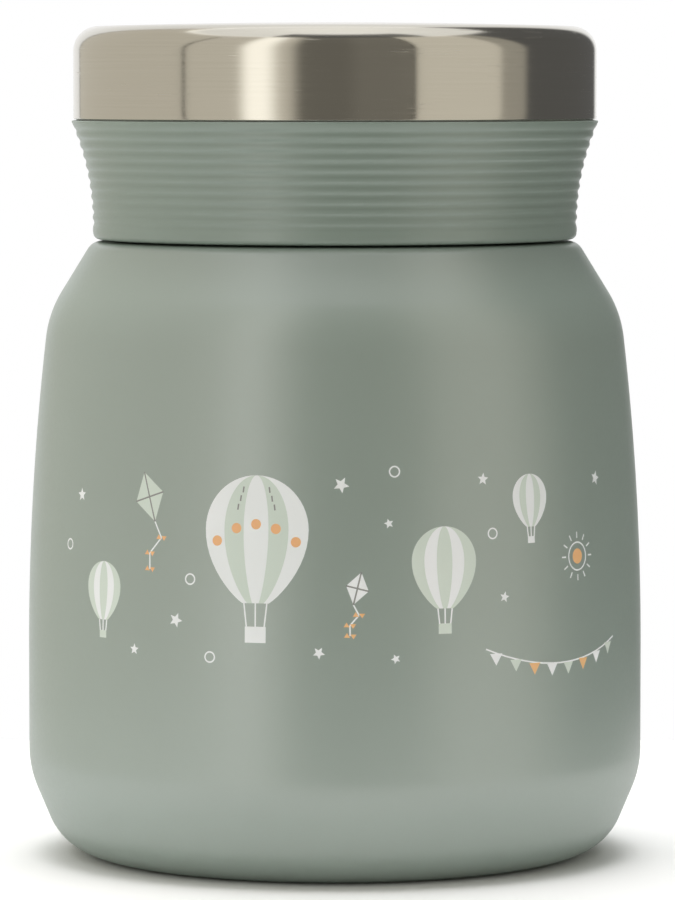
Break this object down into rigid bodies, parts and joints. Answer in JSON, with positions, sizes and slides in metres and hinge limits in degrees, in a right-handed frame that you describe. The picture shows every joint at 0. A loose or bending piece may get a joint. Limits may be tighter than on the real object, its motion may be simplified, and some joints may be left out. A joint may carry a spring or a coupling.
{
  "type": "insulated food jar",
  "caption": "Round double-walled vacuum food jar with a wide mouth and a screw lid: brushed steel cap over a flared, ribbed grip collar.",
  "frame": {"origin": "centre of the foot ring's underside, on the axis of the jar", "axes": "+Z along the axis, out of the mouth; the jar is round, so +X and +Y only fix where the thread's lugs start and where the getter lies"},
  "size_m": [0.1, 0.1, 0.1352],
  "materials": {
    "body_coat": "matte",
    "bare_steel": "satin",
    "vessel_steel": "satin",
    "brushed_cap": "satin",
    "solder_glass": "gloss",
    "getter_metal": "matte",
    "copper_foil": "satin",
    "silicone_grip": "matte",
    "lid_plastic": "satin",
    "foam": "matte",
    "silicone_seal": "matte"
  },
  "bodies": {
    "jar": {"outer_shell": "body_coat", "outer_bottom": "bare_steel", "vacuum_seal": "solder_glass", "base_cover": "bare_steel", "getter_pellet": "getter_metal", "getter_clip": "bare_steel", "inner_liner": "vessel_steel", "liner_bottom": "vessel_steel", "insulation_foil": "copper_foil"},
    "lid_core": {"plug_foam": "foam"},
    "lid": {"lid_steel_cap": "brushed_cap", "lid_grip_sleeve": "silicone_grip", "lid_body": "lid_plastic", "lid_plug": "lid_plastic", "cap_foam": "foam", "lid_gasket": "silicone_seal"}
  },
  "joints": [
    {"name": "lid_lift", "type": "slide", "parent": "jar", "child": "lid_core", "axis": [0, 0, 1], "range_m": [0, 0.0406]},
    {"name": "lid_turn", "type": "hinge", "parent": "lid_core", "child": "lid", "pos_m": [0, 0, 0.1], "axis": [0, 0, 1], "range_deg": [0, 1080]}
  ],
  "couplings": [
    {"joint": "lid_lift", "follows": "lid_turn", "m_per_rad": 0.0021486}
  ]
}
